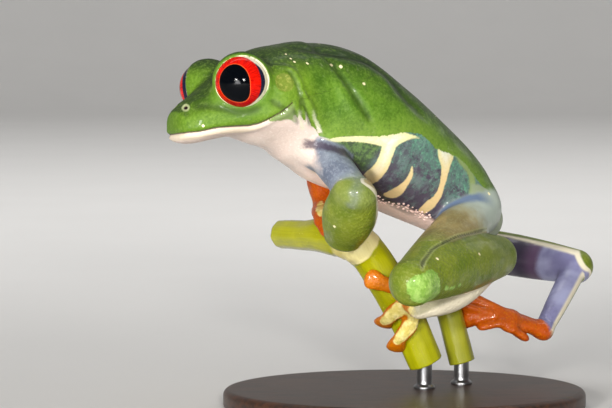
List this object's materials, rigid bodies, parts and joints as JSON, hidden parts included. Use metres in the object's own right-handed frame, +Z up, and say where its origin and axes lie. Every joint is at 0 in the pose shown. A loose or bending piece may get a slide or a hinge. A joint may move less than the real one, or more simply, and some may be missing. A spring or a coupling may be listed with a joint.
{
  "type": "red-eyed tree frog model",
  "caption": "Still life-size tree frog gripping a cut length of green vine, held over a flat oval base by short rods.",
  "frame": {"origin": "middle of the flat underside of the stand's oval base", "axes": "+Z up, +X along the base's long axis towards the frog's rump, +Y towards the frog's right side; the frog looks towards -X and a little towards -Y"},
  "size_m": [0.0622, 0.0619, 0.052],
  "materials": {
    "skin_green": "moist, finely grained leaf-green skin",
    "skin_cream": "moist, pinkish-cream belly skin",
    "skin_olive": "glossy olive-green skin",
    "skin_blue": "moist blue-grey skin",
    "skin_orange": "moist orange skin",
    "eye": "polished clear cornea over a red iris",
    "vine": "waxy yellow-green plant stem",
    "stand_wood": "dark stained, satin varnish",
    "stand_steel": "satin"
  },
  "bodies": {
    "root": {"head": "skin_green", "lower_jaw": "skin_cream", "eardrum_left": "skin_green", "eardrum_right": "skin_green", "eye_left": "eye", "eye_right": "eye", "trunk": "skin_green", "upper_arm_left": "skin_blue", "upper_arm_right": "skin_blue", "forearm_left": "skin_olive", "forearm_right": "skin_olive", "hand_left": "skin_orange", "hand_right": "skin_orange", "thigh_left": "skin_blue", "thigh_right": "skin_blue", "shank_left": "skin_olive", "shank_right": "skin_blue", "tarsus_left": "skin_blue", "tarsus_right": "skin_blue", "foot_left": "skin_orange", "foot_right": "skin_orange", "vine_main": "vine", "vine_side": "vine", "stand_base": "stand_wood", "stand_rod_main": "stand_steel", "stand_rod_side": "stand_steel"}
  },
  "joints": []
}
